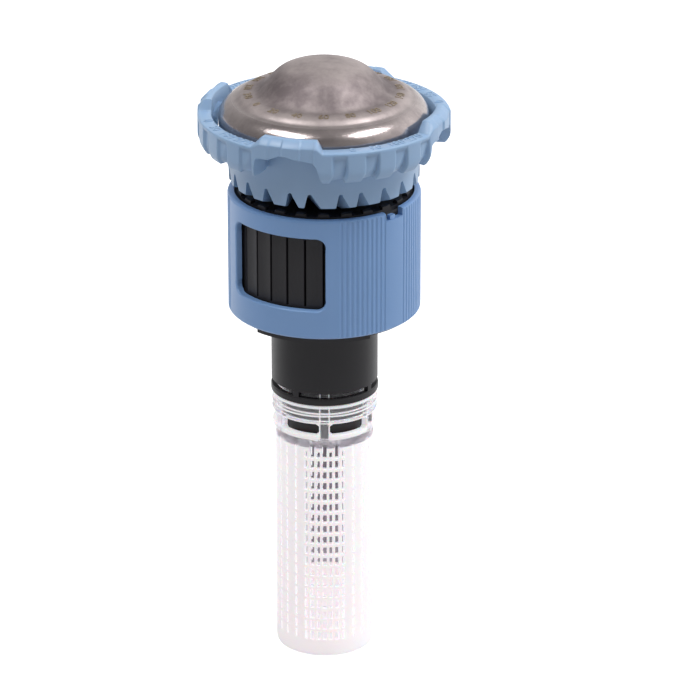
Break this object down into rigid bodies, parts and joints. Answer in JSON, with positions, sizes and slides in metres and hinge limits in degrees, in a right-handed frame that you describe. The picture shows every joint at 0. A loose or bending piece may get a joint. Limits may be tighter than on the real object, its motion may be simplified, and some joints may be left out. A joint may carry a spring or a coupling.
{
  "type": "rotary sprinkler nozzle",
  "caption": "Rotary multi-stream sprinkler nozzle: steel-capped fluted rotor with a grip ring, windowed arc collar over a radius ring, threaded neck and a long filter screen.",
  "frame": {"origin": "on the nozzle's axis at the mouth of the riser thread, level with the collar's lower edge", "axes": "+Z along the axis to the steel cap, -Y the side with the setting window at the viewer's left, +X the viewer's right"},
  "size_m": [0.0312, 0.0312, 0.078],
  "materials": {
    "cap_steel": "pressed stainless steel, satin, faintly mottled",
    "ring_blue": "moulded acetal, light blue, semi-gloss",
    "collar_blue": "moulded, deeper blue, semi-gloss",
    "black_plastic": "moulded black, satin",
    "dial_black": "moulded black, fine matt grain",
    "screen_clear": "clear natural moulding, slightly milky",
    "rubber": "black nitrile",
    "white_plastic": "natural acetal",
    "bright_steel": "ground stainless steel"
  },
  "bodies": {
    "base": {"nozzle_base": "black_plastic", "inlet_neck": "black_plastic", "riser_gasket": "rubber", "spider_post": "black_plastic", "throttle_seat": "black_plastic", "orifice_hub": "black_plastic", "base_seal": "rubber"},
    "arc_setting": {"arc_collar": "collar_blue", "arc_cover": "black_plastic", "cover_seal": "rubber"},
    "valve": {"arc_valve": "white_plastic"},
    "radius_setting": {"radius_ring": "dial_black"},
    "throttle": {"throttle_nut": "white_plastic"},
    "carriage": {"pop_up_shaft": "bright_steel", "spring_retainer": "white_plastic", "return_spring": "bright_steel", "brake_disc": "white_plastic", "shaft_clip": "bright_steel"},
    "rotor": {"deflector": "ring_blue", "grip_ring": "ring_blue", "steel_cap": "cap_steel", "friction_disc": "white_plastic", "chamber_cover": "black_plastic", "shaft_seal": "rubber", "cap_gasket": "rubber"},
    "filter": {"filter_screen": "screen_clear"}
  },
  "joints": [
    {"name": "arc_turn", "type": "hinge", "parent": "base", "child": "arc_setting", "pos_m": [0, 0, 0.008], "axis": [0, 0, 1], "range_deg": [-135, 90]},
    {"name": "valve_lift", "type": "slide", "parent": "base", "child": "valve", "axis": [0, 0, 1], "range_m": [-0.00051, 0.00076]},
    {"name": "radius_turn", "type": "hinge", "parent": "base", "child": "radius_setting", "pos_m": [0, 0, 0.008], "axis": [0, 0, 1], "range_deg": [0, 300]},
    {"name": "throttle_travel", "type": "slide", "parent": "radius_setting", "child": "throttle", "axis": [0, 0, 1], "range_m": [-0.00141, 0.00001]},
    {"name": "pop_up", "type": "slide", "parent": "base", "child": "carriage", "axis": [0, 0, 1], "range_m": [0, 0.005], "stiffness_N_per_m": 300, "springref_m": -0.008, "deforming": ["return_spring"]},
    {"name": "rotor_spin", "type": "hinge", "parent": "carriage", "child": "rotor", "pos_m": [0, 0, 0.02], "axis": [0, 0, 1], "continuous": true},
    {"name": "filter_pull", "type": "slide", "parent": "base", "child": "filter", "axis": [0, 0, -1], "range_m": [0, 0.008]}
  ],
  "couplings": [
    {"joint": "valve_lift", "follows": "arc_turn", "m_per_rad": -0.00031831},
    {"joint": "throttle_travel", "follows": "radius_turn", "m_per_rad": -0.00026738}
  ]
}
